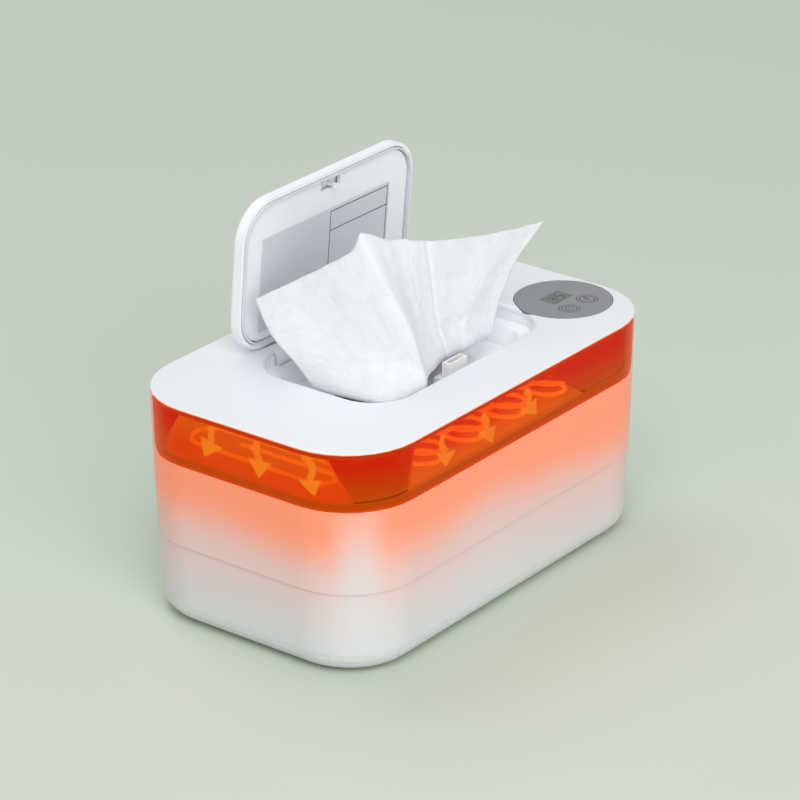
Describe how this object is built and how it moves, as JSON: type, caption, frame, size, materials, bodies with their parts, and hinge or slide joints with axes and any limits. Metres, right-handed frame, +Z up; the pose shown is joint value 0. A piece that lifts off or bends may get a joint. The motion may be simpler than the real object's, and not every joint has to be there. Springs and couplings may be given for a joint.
{
  "type": "baby wipe warmer",
  "caption": "Rounded-box baby wipe warmer with a sprung lid on a touch latch, a lit amber band with a heating coil behind it, a control disc and a lift-off upper cover.",
  "frame": {"origin": "centre of the footprint, on the surface that the feet stand on", "axes": "+Z up, +X along the body towards the control disc, -Y towards the latch side, +Y towards the hinge and the power socket"},
  "size_m": [0.206, 0.125, 0.1659],
  "materials": {
    "white_plastic": "satin white ABS",
    "frosted_silicone": "frosted soft silicone",
    "amber_plastic": "glossy amber translucent, lit from behind",
    "diffuser_film": "light diffusing film",
    "heating_wire": "glowing resistance wire",
    "ceramic": "matt ceramic",
    "lead": "insulated wire",
    "panel_grey": "fine satin grey",
    "display_lens": "smoked clear lens",
    "display_dark": "liquid crystal module",
    "label_silver": "bare silver foil plate",
    "steel": "plain steel",
    "aluminium": "rolled sheet",
    "acetal": "cream acetal",
    "circuit_board": "green circuit board",
    "black_plastic": "black moulded plastic",
    "rubber": "grey rubber",
    "copper": "enamelled copper winding",
    "wipe_cloth": "moist nonwoven cloth"
  },
  "bodies": {
    "tub": {"tub": "white_plastic", "foot_1": "rubber", "foot_2": "rubber", "foot_3": "rubber", "foot_4": "rubber", "wipe_stack": "wipe_cloth"},
    "cover": {"cover_skirt": "white_plastic", "upper_cover": "white_plastic", "lid_basin": "white_plastic", "amber_window": "amber_plastic", "diffuser_end": "diffuser_film", "diffuser_front": "diffuser_film", "light_strip": "circuit_board", "dispensing_plate": "white_plastic", "slot_lip": "frosted_silicone", "heater_tray": "white_plastic", "heat_spreader": "aluminium", "tray_screw_1": "steel", "tray_screw_2": "steel", "tray_screw_3": "steel", "tray_screw_4": "steel", "heating_coil": "heating_wire", "coil_holder_1": "ceramic", "coil_holder_2": "ceramic", "coil_holder_3": "ceramic", "coil_holder_4": "ceramic", "coil_holder_end": "ceramic", "coil_lead": "lead", "control_lead": "lead", "thermostat": "black_plastic", "control_disc": "panel_grey", "display_lens": "display_lens", "display_module": "display_dark", "control_board": "circuit_board", "power_switch": "black_plastic", "mode_switch": "black_plastic", "power_board": "circuit_board", "standoff_1": "white_plastic", "standoff_2": "white_plastic", "standoff_3": "white_plastic", "inductor": "copper", "capacitor": "black_plastic", "power_socket": "black_plastic", "hinge_pin": "steel", "lid_spring": "steel", "latch_housing": "white_plastic", "latch_spring": "steel", "pulled_wipe": "wipe_cloth"},
    "lid": {"lid_shell": "white_plastic", "lid_seal": "frosted_silicone", "lid_liner": "white_plastic", "lid_label": "label_silver", "latch_strike": "acetal"},
    "power_button": {"power_button": "panel_grey"},
    "mode_button": {"mode_button": "panel_grey"},
    "latch": {"latch_cartridge": "acetal"},
    "jaw_left": {"jaw_left": "acetal"},
    "jaw_right": {"jaw_right": "acetal"}
  },
  "joints": [
    {"name": "cover_lift", "type": "slide", "parent": "tub", "child": "cover", "axis": [0, 0, 1], "range_m": [0, 0.08]},
    {"name": "lid_hinge", "type": "hinge", "parent": "cover", "child": "lid", "pos_m": [0.003, 0.041, 0.092], "axis": [1, 0, 0], "range_deg": [0, 85], "stiffness_Nm_per_rad": 0.012, "springref_deg": -28.65, "deforming": ["lid_spring", "pulled_wipe"]},
    {"name": "power_button_press", "type": "slide", "parent": "cover", "child": "power_button", "axis": [0, 0, -1], "range_m": [0, 0.0005], "stiffness_N_per_m": 400, "springref_m": -0.0005},
    {"name": "mode_button_press", "type": "slide", "parent": "cover", "child": "mode_button", "axis": [0, 0, -1], "range_m": [0, 0.0005], "stiffness_N_per_m": 400, "springref_m": -0.0005},
    {"name": "latch_slide", "type": "slide", "parent": "cover", "child": "latch", "axis": [0, 0, -1], "range_m": [0, 0.0034], "deforming": ["latch_spring"]},
    {"name": "jaw_left_swing", "type": "hinge", "parent": "latch", "child": "jaw_left", "pos_m": [0.0008, -0.027, 0.0891], "axis": [0, 1, 0], "range_deg": [0, 12]},
    {"name": "jaw_right_swing", "type": "hinge", "parent": "latch", "child": "jaw_right", "pos_m": [0.0052, -0.027, 0.0891], "axis": [0, -1, 0], "range_deg": [0, 12]}
  ],
  "couplings": [
    {"joint": "latch_slide", "follows": "lid_hinge", "m_per_rad": 0.00229},
    {"joint": "jaw_left_swing", "follows": "lid_hinge", "ratio": 0.1411},
    {"joint": "jaw_right_swing", "follows": "lid_hinge", "ratio": 0.1411}
  ]
}
